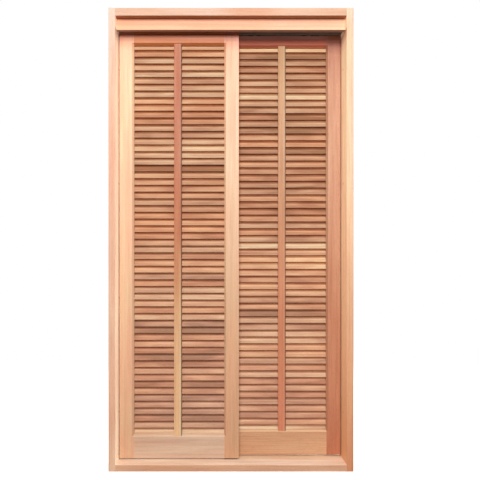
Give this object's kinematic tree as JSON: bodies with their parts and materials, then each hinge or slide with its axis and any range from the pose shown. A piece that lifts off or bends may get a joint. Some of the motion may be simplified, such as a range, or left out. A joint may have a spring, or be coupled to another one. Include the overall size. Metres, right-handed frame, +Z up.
{
  "type": "louvred sliding door",
  "caption": "Timber frame with two overlapping louvred leaves that hang from overhead tracks and slide past each other.",
  "frame": {"origin": "middle of the frame's footprint, on the floor", "axes": "+Z up, +X to the right as seen from the front, +Y from the front to the back"},
  "size_m": [1.11, 0.15, 2.1],
  "materials": {
    "frame_wood": "sealed reddish hardwood, satin",
    "leaf_wood": "sealed reddish hardwood, satin",
    "slat_wood": "sealed reddish hardwood, mixed boards, satin",
    "batten_wood": "sealed reddish hardwood, satin",
    "dowel_wood": "plain beech dowel",
    "track_metal": "dark bronze anodised",
    "steel": "zinc plated",
    "carriage_metal": "die-cast zinc, dull grey",
    "nylon": "black nylon"
  },
  "bodies": {
    "frame": {"left_jamb": "frame_wood", "right_jamb": "frame_wood", "head": "frame_wood", "sill": "frame_wood", "fascia": "frame_wood", "left_frame_screws": "steel", "right_frame_screws": "steel", "fascia_screws": "steel", "front_track": "track_metal", "rear_track": "track_metal", "track_screws": "steel", "front_track_stops": "nylon", "rear_track_stops": "nylon", "floor_guide": "nylon", "floor_guide_screws": "steel"},
    "front_leaf": {"front_leaf_left_stile": "leaf_wood", "front_leaf_right_stile": "leaf_wood", "front_leaf_top_rail": "leaf_wood", "front_leaf_bottom_rail": "leaf_wood", "front_leaf_slats": "slat_wood", "front_leaf_centre_batten": "batten_wood", "front_leaf_dowels": "dowel_wood", "front_leaf_left_hanger_plate": "steel", "front_leaf_left_hanger_bolt": "steel", "front_leaf_left_lock_nut": "steel", "front_leaf_left_carriage": "carriage_metal", "front_leaf_right_hanger_plate": "steel", "front_leaf_right_hanger_bolt": "steel", "front_leaf_right_lock_nut": "steel", "front_leaf_right_carriage": "carriage_metal", "front_leaf_hanger_screws": "steel", "front_leaf_axles": "steel"},
    "front_leaf_wheelset_1": {"front_leaf_wheels_1": "nylon"},
    "front_leaf_wheelset_2": {"front_leaf_wheels_2": "nylon"},
    "front_leaf_wheelset_3": {"front_leaf_wheels_3": "nylon"},
    "front_leaf_wheelset_4": {"front_leaf_wheels_4": "nylon"},
    "rear_leaf": {"rear_leaf_left_stile": "leaf_wood", "rear_leaf_right_stile": "leaf_wood", "rear_leaf_top_rail": "leaf_wood", "rear_leaf_bottom_rail": "leaf_wood", "rear_leaf_slats": "slat_wood", "rear_leaf_centre_batten": "batten_wood", "rear_leaf_dowels": "dowel_wood", "rear_leaf_left_hanger_plate": "steel", "rear_leaf_left_hanger_bolt": "steel", "rear_leaf_left_lock_nut": "steel", "rear_leaf_left_carriage": "carriage_metal", "rear_leaf_right_hanger_plate": "steel", "rear_leaf_right_hanger_bolt": "steel", "rear_leaf_right_lock_nut": "steel", "rear_leaf_right_carriage": "carriage_metal", "rear_leaf_hanger_screws": "steel", "rear_leaf_axles": "steel"},
    "rear_leaf_wheelset_1": {"rear_leaf_wheels_1": "nylon"},
    "rear_leaf_wheelset_2": {"rear_leaf_wheels_2": "nylon"},
    "rear_leaf_wheelset_3": {"rear_leaf_wheels_3": "nylon"},
    "rear_leaf_wheelset_4": {"rear_leaf_wheels_4": "nylon"}
  },
  "joints": [
    {"name": "front_leaf_slide", "type": "slide", "parent": "frame", "child": "front_leaf", "axis": [1, 0, 0], "range_m": [0, 0.484]},
    {"name": "front_leaf_wheel_spin_1", "type": "hinge", "parent": "front_leaf", "child": "front_leaf_wheelset_1", "pos_m": [-0.391, 0.0085, 2.0473], "axis": [0, 1, 0], "continuous": true},
    {"name": "front_leaf_wheel_spin_2", "type": "hinge", "parent": "front_leaf", "child": "front_leaf_wheelset_2", "pos_m": [-0.351, 0.0085, 2.0473], "axis": [0, 1, 0], "continuous": true},
    {"name": "front_leaf_wheel_spin_3", "type": "hinge", "parent": "front_leaf", "child": "front_leaf_wheelset_3", "pos_m": [-0.133, 0.0085, 2.0473], "axis": [0, 1, 0], "continuous": true},
    {"name": "front_leaf_wheel_spin_4", "type": "hinge", "parent": "front_leaf", "child": "front_leaf_wheelset_4", "pos_m": [-0.093, 0.0085, 2.0473], "axis": [0, 1, 0], "continuous": true},
    {"name": "rear_leaf_slide", "type": "slide", "parent": "frame", "child": "rear_leaf", "axis": [-1, 0, 0], "range_m": [0, 0.484]},
    {"name": "rear_leaf_wheel_spin_1", "type": "hinge", "parent": "rear_leaf", "child": "rear_leaf_wheelset_1", "pos_m": [0.093, 0.0515, 2.0473], "axis": [0, 1, 0], "continuous": true},
    {"name": "rear_leaf_wheel_spin_2", "type": "hinge", "parent": "rear_leaf", "child": "rear_leaf_wheelset_2", "pos_m": [0.133, 0.0515, 2.0473], "axis": [0, 1, 0], "continuous": true},
    {"name": "rear_leaf_wheel_spin_3", "type": "hinge", "parent": "rear_leaf", "child": "rear_leaf_wheelset_3", "pos_m": [0.351, 0.0515, 2.0473], "axis": [0, 1, 0], "continuous": true},
    {"name": "rear_leaf_wheel_spin_4", "type": "hinge", "parent": "rear_leaf", "child": "rear_leaf_wheelset_4", "pos_m": [0.391, 0.0515, 2.0473], "axis": [0, 1, 0], "continuous": true}
  ],
  "couplings": [
    {"joint": "front_leaf_wheel_spin_1", "follows": "front_leaf_slide", "rad_per_m": 100},
    {"joint": "front_leaf_wheel_spin_2", "follows": "front_leaf_slide", "rad_per_m": 100},
    {"joint": "front_leaf_wheel_spin_3", "follows": "front_leaf_slide", "rad_per_m": 100},
    {"joint": "front_leaf_wheel_spin_4", "follows": "front_leaf_slide", "rad_per_m": 100},
    {"joint": "rear_leaf_wheel_spin_1", "follows": "rear_leaf_slide", "rad_per_m": -100},
    {"joint": "rear_leaf_wheel_spin_2", "follows": "rear_leaf_slide", "rad_per_m": -100},
    {"joint": "rear_leaf_wheel_spin_3", "follows": "rear_leaf_slide", "rad_per_m": -100},
    {"joint": "rear_leaf_wheel_spin_4", "follows": "rear_leaf_slide", "rad_per_m": -100}
  ]
}
